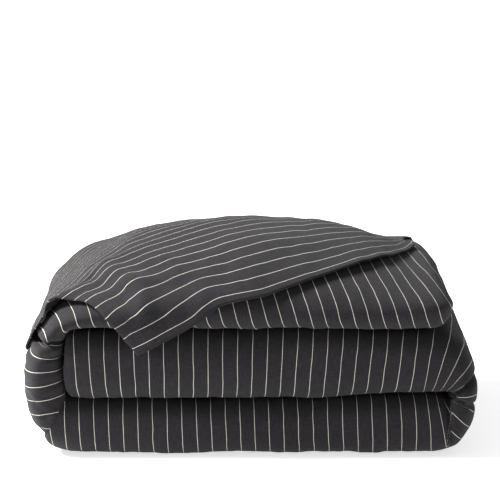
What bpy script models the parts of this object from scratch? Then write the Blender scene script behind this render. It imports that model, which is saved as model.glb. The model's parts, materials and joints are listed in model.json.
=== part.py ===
"""A duvet in its cover, folded in thirds, with the cover's empty end turned back over the top.

The stack stands on Z = 0. X runs along the folded strip, Y from front to back and Z up.
The strip is one long padded band. Its bottom third lies on the bed, the right fold turns it
back as the middle third, and the left fold brings the other end over the middle as the top third.
The cover is a shell of cloth round the insert. The turned-back end is cover only: two plies,
a side seam, a buttoned end hem and a tie in the corner.
"""

import math

import bmesh
import bpy
from mathutils import Matrix, Vector

# The folded stack
DEPTH = 0.540  # front to back
EDGE_REACH = 0.055  # how far the rounded front and back edges reach out of the flat
BOTTOM_LOFT = 0.093  # thickness of the bottom third
MIDDLE_LOFT = 0.118  # thickness of the middle third
TOP_LOFT = 0.092  # thickness of the top third at its edges
CROWN_RISE = 0.054  # how much thicker it is at its crown
CROWN_HALF_LENGTH = 0.340  # from the crown to where it has died away, along the strip
LEFT_FOLD_X = -0.2555  # axis of the left fold
RIGHT_FOLD_X = 0.2995  # axis of the right fold
LEFT_FOLD_REACH = 0.127  # left fold's outside, from its axis
RIGHT_FOLD_REACH = 0.083  # right fold's outside, from its axis
TOP_END_X = 0.348  # closed right end of the top third
TOP_END_REACH = 0.060  # how far that end rounds off
FOLD_CORE = 0.004  # radius left free in the middle of the tight right fold

# Cloth, and the room between pieces
COVER_WALL = 0.0010
INSERT_SLACK = 0.0016  # between the cover and the insert
GAP = 0.0003  # between pieces that touch
STRETCH_GAP = 0.0009  # between one stretch of the strip and the next, whose rims lean a little

# The turned-back end of the cover
FLAP_TURN = math.radians(36)  # its near edge, turned from the X axis
FLAP_CORNER = Vector((-0.191, -0.350))  # its free corner, with the cloth unrolled over the stack
FLAP_LENGTH = 0.66  # along its near edge
FLAP_WIDTH = 0.80  # across it, before it is trimmed at the hinge
FLAP_SIDE_LIMIT = -0.440  # where its left side is turned in, unrolled
FLAP_RIGHT_LIMIT = 0.318  # where its right side is turned in, unrolled
PLY = 0.0008
PLY_PITCH = 0.0014  # from one ply's underside to the next
BACK_PLY_LIFT = 0.0046  # underside of the lower ply, above the stack
EDGE_ROOM = 0.009  # between the stack's rounded sides and the cloth that runs over them
SHOULDER_FALL = 0.152  # height over which the cloth rounds the left side
END_FALL = 0.060  # the same at the right end
ROLL_FALL = 0.052  # the same at the front and back
HINGE_Y = 0.205  # where the turned-back end swings, near the back edge
HINGE_LIFT = 0.0045  # its axis, above the lower ply's underside
ROOT_DROP = 0.115  # how far the cover runs on past the hinge, down the back
SEAM_WIDTH = 0.010
HEM_WIDTH = 0.030
TIE_WIDTH = 0.009
TIE_LENGTH = 0.120
TIE_SETBACK = 0.010  # from the hem to the tie
BUTTON_RADIUS = 0.0085
BUTTON_THICKNESS = 0.0024
BUTTON_SLACK = 0.0003  # thread between the button and the cloth
BUTTON_BEND = 3.2  # room for the bend of the cloth over the button, and for its facets
BUTTON_COUNT = 4
BUTTON_PITCH = 0.1025
BUTTON_FIRST = 0.0475  # from the free corner
BUTTON_HOLE = 0.0009
BUTTON_HOLE_PITCH = 0.0036

# Mesh fineness
FLAT_STEPS = 8
ROUND_STEPS = 8
THIRD_STEPS = 10
FOLD_STEPS = 10
END_STEPS = 5
FLAP_CELL = 0.020

MIDDLE_BASE = BOTTOM_LOFT + GAP
TOP_BASE = MIDDLE_BASE + MIDDLE_LOFT + GAP
FOLD_Z = MIDDLE_BASE + MIDDLE_LOFT / 2
OPENING_X = LEFT_FOLD_X - LEFT_FOLD_REACH  # the taut outside of the left fold, which bends open
FLAT_HALF = DEPTH / 2 - EDGE_REACH
INSET = COVER_WALL + INSERT_SLACK

CLOTH = (0.055, 0.052, 0.058, 1.0)
WADDING = (0.85, 0.84, 0.80, 1.0)
HORN = (0.10, 0.085, 0.075, 1.0)


def clear_scene():
    for obj in list(bpy.data.objects):
        bpy.data.objects.remove(obj)


def material(name, colour, roughness):
    made = bpy.data.materials.new(name)
    made.use_nodes = True
    shader = made.node_tree.nodes["Principled BSDF"]
    shader.inputs["Base Color"].default_value = colour
    shader.inputs["Roughness"].default_value = roughness
    shader.inputs["Metallic"].default_value = 0.0
    return made


def add_object(name, mesh_builder, collection, look, parent):
    """Turns a bmesh into a named object with its own material, under the body that carries it."""
    mesh = bpy.data.meshes.new(name)
    mesh_builder.to_mesh(mesh)
    mesh_builder.free()
    mesh.shade_smooth()
    obj = bpy.data.objects.new(name, mesh)
    obj.data.materials.append(look)
    collection.objects.link(obj)
    obj.parent = parent
    obj.matrix_parent_inverse = parent.matrix_world.inverted()
    return obj


def add_body(name, place, collection):
    empty = bpy.data.objects.new(name, None)
    empty.location = place
    collection.objects.link(empty)
    bpy.context.view_layer.update()
    return empty


def solidify(obj, thickness, offset):
    wall = obj.modifiers.new("cloth", "SOLIDIFY")
    wall.thickness = thickness
    wall.offset = offset
    wall.use_even_offset = True


# ---- The padded strip -------------------------------------------------------------------------


def crown(x, y):
    """How far the top third's upper face stands above its edges."""
    along = max(0.0, 1 - (x / CROWN_HALF_LENGTH) ** 2)
    across = max(0.0, 1 - (y / FLAT_HALF) ** 2)
    return CROWN_RISE * along * along * across


def section(low, high, inset, rise=0.0):
    """One section of the strip as (y, r) points, with r through its thickness.

    It is flat inside and outside, with half ellipses at the front and back. rise lifts the
    middle of the outer face above its edges."""
    low, high = low + inset, high - inset
    flat, reach = FLAT_HALF, EDGE_REACH - inset
    middle, half = (low + high) / 2, (high - low) / 2
    points = []
    for i in range(FLAT_STEPS):
        points.append((-flat + 2 * flat * i / FLAT_STEPS, low))
    for i in range(ROUND_STEPS):
        turn = -math.pi / 2 + math.pi * i / ROUND_STEPS
        points.append((flat + reach * math.cos(turn), middle + half * math.sin(turn)))
    for i in range(FLAT_STEPS):
        y = flat - 2 * flat * i / FLAT_STEPS
        points.append((y, high + rise * (1 - (y / flat) ** 2)))
    for i in range(ROUND_STEPS):
        turn = math.pi / 2 + math.pi * i / ROUND_STEPS
        points.append((-flat + reach * math.cos(turn), middle + half * math.sin(turn)))
    return points


def ring(origin, normal, points):
    """A section placed on the strip's path: origin and normal are in the XZ plane."""
    return [Vector((origin[0] + normal[0] * r, y, origin[1] + normal[1] * r)) for y, r in points]


def loft(rings, close_start, close_end):
    """Bridges the rings into one skin, and fills the ends that are closed."""
    skin = bmesh.new()
    loops = []
    for points in rings:
        verts = [skin.verts.new(p) for p in points]
        loops.append([skin.edges.new((verts[i - 1], verts[i])) for i in range(len(verts))])
    for first, second in zip(loops, loops[1:]):
        bmesh.ops.bridge_loops(skin, edges=first + second)
    for wanted, edges in ((close_start, loops[0]), (close_end, loops[-1])):
        if wanted:
            bmesh.ops.edgeloop_fill(skin, edges=edges)
    bmesh.ops.recalc_face_normals(skin, faces=skin.faces)
    bmesh.ops.triangulate(skin, faces=skin.faces)
    return skin


def ellipse_radius(turn, across, along):
    """Distance from the centre to an ellipse, in the direction that turn gives."""
    return 1 / math.hypot(math.cos(turn) / across, math.sin(turn) / along)


def spaced(start, end, steps):
    return [start + (end - start) * i / steps for i in range(steps + 1)]


def bottom_rings(inset):
    ends = (LEFT_FOLD_X + STRETCH_GAP / 2, RIGHT_FOLD_X - STRETCH_GAP / 2)
    profile = section(0, BOTTOM_LOFT, inset)
    return [ring((x, BOTTOM_LOFT), (0, -1), profile) for x in spaced(*ends, THIRD_STEPS)]


def right_fold_rings(inset):
    rings = []
    for turn in spaced(-math.pi / 2, math.pi / 2, FOLD_STEPS):
        loft_here = BOTTOM_LOFT if turn < 0 else MIDDLE_LOFT
        outside = ellipse_radius(turn, RIGHT_FOLD_REACH, loft_here)
        profile = section(FOLD_CORE, outside, inset)
        axis = (RIGHT_FOLD_X + STRETCH_GAP / 2, BOTTOM_LOFT + GAP / 2)
        rings.append(ring(axis, (math.cos(turn), math.sin(turn)), profile))
    return rings


def middle_rings(inset):
    """From the right fold to the closed left end, which nests in the left fold."""
    half = MIDDLE_LOFT / 2
    rings = []
    for x in spaced(RIGHT_FOLD_X - STRETCH_GAP / 2, LEFT_FOLD_X, THIRD_STEPS):
        rings.append(ring((x, MIDDLE_BASE), (0, 1), section(0, MIDDLE_LOFT, inset)))
    for turn in spaced(0, math.radians(72), END_STEPS)[1:]:
        x = LEFT_FOLD_X - (half - inset) * math.sin(turn)
        high = inset + (half - inset) * math.cos(turn)
        rings.append(ring((x, FOLD_Z), (0, 1), section(-high, high, inset)))
    return rings


def left_fold_rings(inset):
    upper = TOP_BASE + TOP_LOFT - FOLD_Z
    inside = (MIDDLE_LOFT / 2 + GAP) / math.cos(math.pi / 2 / FOLD_STEPS)
    rings = []
    for turn in spaced(-math.pi / 2, math.pi / 2, FOLD_STEPS):
        along = FOLD_Z if turn < 0 else upper
        outside = ellipse_radius(turn, LEFT_FOLD_REACH, along)
        rise = crown(LEFT_FOLD_X, 0) * max(0.0, math.sin(turn)) ** 2
        profile = section(inside, outside, inset, rise)
        axis = (LEFT_FOLD_X - STRETCH_GAP / 2, FOLD_Z)
        rings.append(ring(axis, (-math.cos(turn), math.sin(turn)), profile))
    return rings


def top_rings(inset):
    """From the left fold to the closed right end."""
    shoulder = TOP_END_X - TOP_END_REACH
    rings = []
    for x in spaced(LEFT_FOLD_X + STRETCH_GAP / 2, shoulder, THIRD_STEPS):
        rings.append(ring((x, TOP_BASE), (0, 1), section(0, TOP_LOFT, inset, crown(x, 0))))
    half = TOP_LOFT / 2
    for turn in spaced(0, math.radians(72), END_STEPS)[1:]:
        x = shoulder + (TOP_END_REACH - inset) * math.sin(turn)
        high = inset + (half - inset) * math.cos(turn)
        rise = crown(shoulder, 0) * math.cos(turn)
        profile = section(-high, high, inset, rise)
        rings.append(ring((x, TOP_BASE + half), (0, 1), profile))
    return rings


def build_strip(collection, bodies, looks):
    """Each stretch of the strip is a cover shell, open where the strip goes on, and an insert."""
    stretches = {
        "bottom_third": (bottom_rings, "base", False),
        "right_fold": (right_fold_rings, "base", False),
        "middle_third": (middle_rings, "base", True),
        "left_fold": (left_fold_rings, "base", False),
        "top_third": (top_rings, "top_third", True),
    }
    for name, (rings, body, closed_end) in stretches.items():
        shell = loft(rings(0.0), False, closed_end)
        cover = add_object(f"cover_{name}", shell, collection, looks["cover"], bodies[body])
        solidify(cover, COVER_WALL, -1)
        core = loft(rings(INSET), True, True)
        add_object(f"insert_{name}", core, collection, looks["insert"], bodies[body])


# ---- The turned-back end of the cover ---------------------------------------------------------


def over_edge(distance, reach, fall):
    """(how far out, how far down) for cloth that runs on this far past the start of an edge."""
    if distance <= 0:
        return 0.0, 0.0
    turn = distance / ((reach + fall) / 2)
    if turn < math.pi / 2:
        return reach * math.sin(turn), fall * (1 - math.cos(turn))
    return reach, fall + distance - (reach + fall) / 2 * math.pi / 2


def drape(x, y):
    """Where a point of the unrolled cloth comes to lie, BACK_PLY_LIFT above the stack."""
    right_edge = TOP_END_X - TOP_END_REACH
    out_x, down_x = over_edge(LEFT_FOLD_X - x, LEFT_FOLD_REACH + EDGE_ROOM, SHOULDER_FALL)
    out_right, down_right = over_edge(x - right_edge, TOP_END_REACH + EDGE_ROOM, END_FALL)
    out_y, down_y = over_edge(abs(y) - FLAT_HALF, EDGE_REACH + EDGE_ROOM, ROLL_FALL)
    inside_x = max(LEFT_FOLD_X, min(x, right_edge))
    inside_y = max(-FLAT_HALF, min(y, FLAT_HALF))
    level = max(0.0, 1 - down_x / SHOULDER_FALL) * max(0.0, 1 - down_right / END_FALL)
    top = TOP_BASE + TOP_LOFT + crown(inside_x, inside_y) * level**1.5
    return Vector(
        (
            inside_x - out_x + out_right,
            inside_y + math.copysign(out_y, y),
            top - down_x - down_right - down_y + BACK_PLY_LIFT,
        )
    )


def drape_frame(x, y):
    """The draped point and the cloth's upward normal there."""
    step = 0.002
    place = drape(x, y)
    along = drape(x + step, y) - place
    across = drape(x, y + step) - place
    return place, along.cross(across).normalized()


def from_corner(along, across):
    """A point of the flap, given along its near edge and across it, on the unrolled cloth."""
    turned = Matrix.Rotation(FLAP_TURN, 2) @ Vector((along, across))
    return FLAP_CORNER + turned


def stations(marks):
    """Where the flap's mesh lines run: through every mark, and evenly between them."""
    lines = [marks[0]]
    for start, end in zip(marks, marks[1:]):
        lines += spaced(start, end, max(1, round((end - start) / FLAP_CELL)))[1:]
    return lines


def flap_patch(along, across, lift, keep, trims=(), set_back=0.0):
    """A rectangle of the flap, trimmed while it is flat and then draped.

    All its pieces share one set of mesh lines, so plies that lie together stay clear.
    keep is 1 for what lies in front of the hinge and -1 for what lies behind it. trims are
    (point, direction) pairs: what lies further than the point in that direction is cut off.
    set_back draws the piece's four edges in."""
    tie_start = HEM_WIDTH + TIE_SETBACK
    lines = [stations((0, HEM_WIDTH, tie_start, tie_start + TIE_LENGTH, FLAP_LENGTH))]
    lines.append(stations((0, SEAM_WIDTH, SEAM_WIDTH + TIE_WIDTH, FLAP_WIDTH)))
    for i, (start, end) in enumerate((along, across)):
        kept = [line for line in lines[i] if start - GAP / 2 < line < end + GAP / 2]
        kept[0] += set_back
        kept[-1] -= set_back
        lines[i] = kept
    columns, rows = len(lines[0]) - 1, len(lines[1]) - 1
    patch = bmesh.new()
    bmesh.ops.create_grid(patch, x_segments=columns, y_segments=rows, size=0.5)
    for vert in patch.verts:
        column = round((vert.co.x + 0.5) * columns)
        row = round((vert.co.y + 0.5) * rows)
        vert.co = from_corner(lines[0][column], lines[1][row]).to_3d()
    hinge_trim = ((0, HINGE_Y - keep * GAP, 0), (0, keep, 0))
    for point, direction in (hinge_trim, *trims):
        everything = patch.verts[:] + patch.edges[:] + patch.faces[:]
        bmesh.ops.bisect_plane(
            patch, geom=everything, plane_co=point, plane_no=direction, clear_outer=True
        )
    for vert in patch.verts:
        place, normal = drape_frame(vert.co.x, vert.co.y)
        vert.co = place + normal * lift
    bmesh.ops.triangulate(patch, faces=patch.faces, quad_method="FIXED")
    return patch


def side_trims():
    return (
        ((FLAP_SIDE_LIMIT, 0, 0), (-1, 0, 0)),
        ((FLAP_RIGHT_LIMIT, 0, 0), (1, 0, 0)),
    )


def build_plies(collection, bodies, looks):
    """The two plies, with the side seam, the end hem and the corner tie between them."""
    whole = ((0, FLAP_LENGTH), (0, FLAP_WIDTH))
    tie_start = HEM_WIDTH + TIE_SETBACK
    seam = ((HEM_WIDTH, FLAP_LENGTH), (0, SEAM_WIDTH))
    hem = ((0, HEM_WIDTH), (0, FLAP_WIDTH))
    tie = ((tie_start, tie_start + TIE_LENGTH), (SEAM_WIDTH, SEAM_WIDTH + TIE_WIDTH))
    pieces = {
        "flap_face_panel": (*whole, 2 * PLY_PITCH, 0.0),
        "flap_back_panel": (*whole, 0.0, 0.0),
        "flap_side_seam": (*seam, PLY_PITCH, GAP / 2),
        "flap_end_hem": (*hem, PLY_PITCH, GAP / 2),
        "flap_corner_tie": (*tie, PLY_PITCH, GAP / 2),
    }
    for name, (along, across, lift, set_back) in pieces.items():
        patch = flap_patch(along, across, lift, 1, side_trims(), set_back)
        obj = add_object(name, patch, collection, looks["cover"], bodies["flap"])
        solidify(obj, PLY, 1)


def build_root(collection, bodies, looks):
    """The cover behind the hinge, which runs down the back of the top third."""
    far = ((0, HINGE_Y + ROOT_DROP, 0), (0, 1, 0))
    patch = flap_patch(
        (0, FLAP_LENGTH), (0, FLAP_WIDTH), 0.0, -1, (*side_trims(), far)
    )
    obj = add_object("flap_root", patch, collection, looks["cover"], bodies["top_third"])
    solidify(obj, PLY, 1)


def button_mesh():
    """A flat four-hole button with a raised rim, its upper face at Z = 0."""
    disc = bmesh.new()
    bmesh.ops.create_circle(disc, cap_ends=True, segments=28, radius=BUTTON_RADIUS)
    face = disc.faces[:]
    dish = bmesh.ops.inset_region(disc, faces=face, thickness=BUTTON_RADIUS * 0.22)
    del dish
    solid = bmesh.ops.extrude_face_region(disc, geom=disc.faces[:])
    lifted = [v for v in solid["geom"] if isinstance(v, bmesh.types.BMVert)]
    bmesh.ops.translate(disc, verts=lifted, vec=(0, 0, -BUTTON_THICKNESS))
    for vert in lifted:
        if math.hypot(vert.co.x, vert.co.y) < BUTTON_RADIUS * 0.9:
            vert.co.z += BUTTON_THICKNESS * 0.3
    bmesh.ops.recalc_face_normals(disc, faces=disc.faces)
    return disc


def button_room(flat, place, normal):
    """How far a flat button hangs under the cloth, which bends away from it."""
    drop = 0.0
    for i in range(8):
        turn = math.pi * i / 4
        rim = flat + Vector((math.cos(turn), math.sin(turn))) * BUTTON_RADIUS
        drop = max(drop, (place - drape(rim.x, rim.y)).dot(normal))
    return BUTTON_SLACK + BUTTON_BEND * drop


def build_buttons(collection, cutters, bodies, looks):
    """The buttons sewn under the end hem, which close the cover's open end."""
    for number in range(BUTTON_COUNT):
        across = BUTTON_FIRST + number * BUTTON_PITCH
        flat = from_corner(HEM_WIDTH / 2, across)
        place, normal = drape_frame(flat.x, flat.y)
        room = button_room(flat, place, normal)
        name = f"button_{number + 1}"
        button = add_object(name, button_mesh(), collection, looks["button"], bodies["flap"])
        turn = Vector((0, 0, 1)).rotation_difference(normal).to_matrix().to_4x4()
        button.matrix_world = Matrix.Translation(place - normal * room) @ turn
        for column in (-0.5, 0.5):
            for row in (-0.5, 0.5):
                drill_hole(button, cutters, column, row)


def drill_hole(button, cutters, column, row):
    drill = bmesh.new()
    bmesh.ops.create_cone(
        drill,
        cap_ends=True,
        segments=10,
        radius1=BUTTON_HOLE,
        radius2=BUTTON_HOLE,
        depth=BUTTON_THICKNESS * 3,
    )
    mesh = bpy.data.meshes.new("drill")
    drill.to_mesh(mesh)
    drill.free()
    cutter = bpy.data.objects.new(f"drill_{button.name}", mesh)
    cutters.objects.link(cutter)
    offset = Matrix.Translation((column * BUTTON_HOLE_PITCH, row * BUTTON_HOLE_PITCH, 0))
    cutter.matrix_world = button.matrix_world @ offset
    cutter.hide_render = True
    cutter.display_type = "WIRE"
    cut = button.modifiers.new("thread hole", "BOOLEAN")
    cut.operation = "DIFFERENCE"
    cut.object = cutter


def main():
    clear_scene()
    collection = bpy.data.collections.new("folded_duvet")
    cutters = bpy.data.collections.new("cutters")
    for made in (collection, cutters):
        bpy.context.scene.collection.children.link(made)
    hinge_z = drape(0, HINGE_Y).z + HINGE_LIFT
    bodies = {
        "base": add_body("base_body", (0, 0, 0), collection),
        "top_third": add_body("top_third_body", (OPENING_X, 0, FOLD_Z), collection),
        "flap": add_body("flap_body", (0, HINGE_Y, hinge_z), collection),
    }
    looks = {
        "cover": material("pinstripe cover cloth", CLOTH, 0.9),
        "insert": material("insert wadding", WADDING, 0.95),
        "button": material("horn button", HORN, 0.4),
    }
    build_strip(collection, bodies, looks)
    build_plies(collection, bodies, looks)
    build_root(collection, bodies, looks)
    build_buttons(collection, cutters, bodies, looks)


main()
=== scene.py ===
"""Folded duvet: the pinstriped cover, its turned-back end, and a plain studio.

The stack is one long padded strip folded in thirds. It is skinned in two pieces that meet in
the crease at the bottom left. The turned-back end of the cover is a doubled sheet laid over
the top.
"""

import json
import math

import bmesh
import bpy
import numpy as np
from bpy.props import FloatProperty, FloatVectorProperty, PointerProperty
from bpy.types import Operator, Panel, PropertyGroup
from mathutils import Matrix, Vector


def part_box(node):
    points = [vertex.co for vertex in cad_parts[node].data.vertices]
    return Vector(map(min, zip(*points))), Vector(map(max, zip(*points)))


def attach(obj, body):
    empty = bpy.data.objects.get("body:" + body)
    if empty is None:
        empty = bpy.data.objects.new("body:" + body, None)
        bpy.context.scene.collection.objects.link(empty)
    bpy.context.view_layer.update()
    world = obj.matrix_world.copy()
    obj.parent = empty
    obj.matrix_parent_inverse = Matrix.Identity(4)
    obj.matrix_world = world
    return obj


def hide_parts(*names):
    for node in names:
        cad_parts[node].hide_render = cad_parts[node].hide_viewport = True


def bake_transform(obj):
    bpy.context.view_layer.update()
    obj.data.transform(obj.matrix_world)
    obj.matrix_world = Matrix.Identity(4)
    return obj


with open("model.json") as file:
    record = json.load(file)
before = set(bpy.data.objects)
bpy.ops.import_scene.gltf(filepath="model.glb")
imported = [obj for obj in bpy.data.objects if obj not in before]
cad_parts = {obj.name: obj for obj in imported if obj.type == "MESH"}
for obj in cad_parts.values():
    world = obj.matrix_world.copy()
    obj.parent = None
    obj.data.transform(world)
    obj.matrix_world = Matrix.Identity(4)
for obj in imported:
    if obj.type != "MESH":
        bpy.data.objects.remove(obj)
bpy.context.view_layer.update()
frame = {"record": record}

bl_info = {
    "name": "Folded Duvet",
    "version": (1, 0, 0),
    "blender": (4, 5, 0),
    "location": "3D View > Sidebar > Duvet",
    "description": "Makes a duvet folded in thirds, in a pinstriped cover",
    "category": "Add Mesh",
}

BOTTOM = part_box("cover_bottom_third")
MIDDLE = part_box("cover_middle_third")
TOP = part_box("cover_top_third")
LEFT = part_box("cover_left_fold")
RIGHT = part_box("cover_right_fold")

HALF_DEPTH = (BOTTOM[1][1] - BOTTOM[0][1]) / 2
LEFT_X = LEFT[0][0]
RIGHT_X = RIGHT[1][0]
TOP_END_X = TOP[1][0]
SEAM_Z = (BOTTOM[1][2] + MIDDLE[0][2]) / 2  # crease between the bottom and middle thirds
UPPER_SEAM_Z = (MIDDLE[1][2] + TOP[0][2]) / 2  # crease between the middle and top thirds
OPENING = frame["record"]["behaviour"]["joints"][0]["pos_m"]  # the top third opens about this


# ---- Sizes and colours -------------------------------------------------------------------------


class DuvetSizes(PropertyGroup):
    stripe_pitch: FloatProperty(
        name="Stripe Pitch",
        description="From one pinstripe to the next",
        default=0.0245,
        unit="LENGTH",
    )
    stripe_width: FloatProperty(
        name="Stripe Width",
        description="Width of the cream yarns in a pinstripe",
        default=0.0008,
        unit="LENGTH",
    )
    crown: FloatProperty(
        name="Crown",
        description="Height of the top third at its middle",
        default=0.3500,
        unit="LENGTH",
    )
    wrinkle: FloatProperty(
        name="Wrinkles",
        description="Depth of the cover's soft wrinkles",
        default=0.0032,
        unit="LENGTH",
    )
    flap_length: FloatProperty(
        name="Flap Length",
        description="Turned-back end, along its near edge",
        default=0.860,
        unit="LENGTH",
    )
    flap_width: FloatProperty(
        name="Flap Width",
        description="Turned-back end, from its near edge to the fold at the back",
        default=0.760,
        unit="LENGTH",
    )
    flap_thickness: FloatProperty(
        name="Flap Thickness",
        description="Both plies of the turned-back end together",
        default=0.0024,
        unit="LENGTH",
    )
    cloth: FloatVectorProperty(
        name="Cloth",
        description="Charcoal ground of the cover",
        subtype="COLOR",
        size=3,
        default=(0.0156, 0.0145, 0.0160),
    )
    stripe: FloatVectorProperty(
        name="Stripe",
        description="Cream yarn of the pinstripes",
        subtype="COLOR",
        size=3,
        default=(0.60, 0.575, 0.52),
    )
    horn: FloatVectorProperty(
        name="Button",
        description="Dark horn of the buttons",
        subtype="COLOR",
        size=3,
        default=(0.085, 0.068, 0.058),
    )


def sizes():
    return bpy.context.scene.duvet_sizes


# ---- Small tools -------------------------------------------------------------------------------


def smooth(value):
    """0 below 0, 1 above 1, and an even rise between."""
    value = np.clip(value, 0.0, 1.0)
    return value * value * (3 - 2 * value)


def bump(value, centre, width):
    return np.exp(-(((value - centre) / width) ** 2))


def wander(u, v, along, across, seed):
    """Smooth wandering values between -1 and 1, that change over these distances."""
    table = np.random.default_rng(seed).uniform(-1, 1, (97, 97))
    u, v = u / along + 31.7, v / across + 47.3
    i, j = np.floor(u).astype(int), np.floor(v).astype(int)
    fu, fv = smooth(u - i), smooth(v - j)
    i, j, next_i, next_j = i % 97, j % 97, (i + 1) % 97, (j + 1) % 97
    near = table[i, j] * (1 - fu) + table[next_i, j] * fu
    far = table[i, next_j] * (1 - fu) + table[next_i, next_j] * fu
    return near * (1 - fv) + far * fv


def through(keys, steps):
    """Even steps along a smooth curve through the keys, one row a key."""
    keys = np.array(keys, float)
    padded = np.vstack([2 * keys[0] - keys[1], keys, 2 * keys[-1] - keys[-2]])
    place = np.linspace(0, len(keys) - 1, steps)
    k = np.minimum(place.astype(int), len(keys) - 2)
    t = (place - k)[:, None]
    a, b, c, d = padded[k], padded[k + 1], padded[k + 2], padded[k + 3]
    return 0.5 * (
        2 * b + (c - a) * t + (2 * a - 5 * b + 4 * c - d) * t**2 + (3 * b - a - 3 * c + d) * t**3
    )


def facing(points):
    """Unit normals of a grid of points."""
    along = np.gradient(points, axis=0)
    across = np.gradient(points, axis=1)
    normal = np.cross(along, across)
    return normal / np.maximum(np.linalg.norm(normal, axis=2, keepdims=True), 1e-12)


def new_piece(name, builder):
    mesh = bpy.data.meshes.new(name)
    builder.to_mesh(mesh)
    builder.free()
    mesh.shade_smooth()
    piece = bpy.data.objects.new(name, mesh)
    bpy.context.scene.collection.objects.link(piece)
    return piece


def cloth_grid(points, uv):
    """A bmesh sheet whose corners lie at these points, with its cloth coordinates in metres."""
    columns, rows = points.shape[0] - 1, points.shape[1] - 1
    sheet = bmesh.new()
    bmesh.ops.create_grid(
        sheet, x_segments=columns, y_segments=rows, size=0.5, calc_uvs=True
    )
    layer = sheet.loops.layers.uv.verify()
    for face in sheet.faces:
        for loop in face.loops:
            i = round((loop.vert.co.x + 0.5) * columns)
            j = round((loop.vert.co.y + 0.5) * rows)
            loop[layer].uv = uv[i, j]
    for vert in sheet.verts:
        i = round((vert.co.x + 0.5) * columns)
        j = round((vert.co.y + 0.5) * rows)
        vert.co = points[i, j]
    return sheet


# ---- The padded strip --------------------------------------------------------------------------

INNER_POINTS, EDGE_POINTS, OUTER_POINTS = 50, 18, 156  # round a section
CROWN_SAMPLES = 481
FOLD_STATIONS = 130  # round the left fold
START_STATIONS = 34  # round the bottom third's left end
STATION_STEP = 0.0026  # between stations near a tucked end
BEND_START_Z = SEAM_Z - 0.02  # the left fold bends open from here up to the upper crease
OPENED = math.radians(150)
ROLL = 0.052  # how far a layer's rounded front edge reaches in
EDGE_POWER = 2.3  # squareness of that edge
CREASE_GAP = 0.0008  # from the crease between two thirds to either of them
GROUND_GAP = 0.0002
MIDDLE_TOP_Z = MIDDLE[1][2] + 0.003


def section(high, middle, power, level, reach, half_depth):
    """One closed section of the strip, as y, r and the distance round it from the front.

    The inner face is flat, at r = 0. The section is widest at r = middle. Its outer face lies
    at r = high across the level half-width, and falls to the widest line on both sides."""
    flat = half_depth - reach
    inner_y = np.linspace(flat, -flat, INNER_POINTS, endpoint=False)
    turn = np.linspace(0, math.pi / 2, EDGE_POINTS, endpoint=False)
    edge_y = -flat - reach * np.sin(turn) ** (2 / EDGE_POWER)
    edge_r = middle * (1 - np.cos(turn) ** (2 / EDGE_POWER))
    rise = np.linspace(0, math.pi / 2, CROWN_SAMPLES)
    side_y = level + (half_depth - level) * np.cos(rise) ** (2 / power)
    side_r = middle + (high - middle) * np.sin(rise) ** (2 / power)
    crown_y = np.concatenate([-side_y, side_y[::-1]])
    crown_r = np.concatenate([side_r, side_r[::-1]])
    run = np.concatenate([[0], np.cumsum(np.hypot(np.diff(crown_y), np.diff(crown_r)))])
    even = np.linspace(0, run[-1], OUTER_POINTS, endpoint=False)
    outer_y, outer_r = np.interp(even, run, crown_y), np.interp(even, run, crown_r)
    back_y, back_r = -edge_y[::-1], edge_r[::-1]
    y = np.concatenate([inner_y, edge_y, outer_y, [half_depth], back_y])
    r = np.concatenate([np.zeros(INNER_POINTS), edge_r, outer_r, [middle], back_r])
    y[-1], r[-1] = flat, 0
    run = np.concatenate([[0], np.cumsum(np.hypot(np.diff(y), np.diff(r)))])
    return y, r, run - run[INNER_POINTS + EDGE_POINTS]


def strip(stations):
    """Points, distance along and distance round for a strip, one section a station.

    A station is inner x, inner z, outer x, outer z, middle, power, level, depth, and the
    fullness of its outer and inner halves, which is 1 along the strip and falls at its ends."""
    points, rounds, mid_path = [], [], []
    for ix, iz, ox, oz, share, power, level, depth, outer_full, inner_full in stations:
        high = math.hypot(ox - ix, oz - iz)
        nx, nz = (ox - ix) / high, (oz - iz) / high
        middle = share * high
        y, r, run = section(high, middle, power, level, ROLL, depth)
        r = middle + (r - middle) * np.where(r > middle, outer_full, inner_full)
        points.append(np.stack([ix + nx * r, y, iz + nz * r], axis=1))
        rounds.append(run)
        at = 0.75 * high
        mid_path.append((ix + nx * at, iz + nz * at))
    path = np.array(mid_path)
    along = np.concatenate([[0], np.cumsum(np.hypot(*np.diff(path, axis=0).T))])
    return np.array(points), along, np.array(rounds)


def skin(name, points, uv):
    """Closes the strip round its length and at both ends."""
    body = cloth_grid(points, uv)
    bmesh.ops.remove_doubles(body, verts=body.verts, dist=0.00002)
    rims = [edge for edge in body.edges if edge.is_boundary]
    bmesh.ops.holes_fill(body, edges=rims, sides=0)
    bmesh.ops.recalc_face_normals(body, faces=body.faces)
    caps = [face for face in body.faces if len(face.verts) > 4]
    bmesh.ops.triangulate(body, faces=caps)
    return new_piece(name, body)


def tucked(distance, radius=0.012):
    """Fullness and loss of depth near an end that is tucked against its neighbour."""
    t = min(distance / radius, 1)
    q = math.sqrt(max(0.0, 1 - (1 - t) ** 2))
    return 0.985 + 0.015 * q, 0.007 * (1 - q)


def crease_height(x):
    """Height of the crease between the bottom and middle thirds."""
    return SEAM_Z + 0.003 + 0.0075 * bump(x, 0.31, 0.14)


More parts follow.
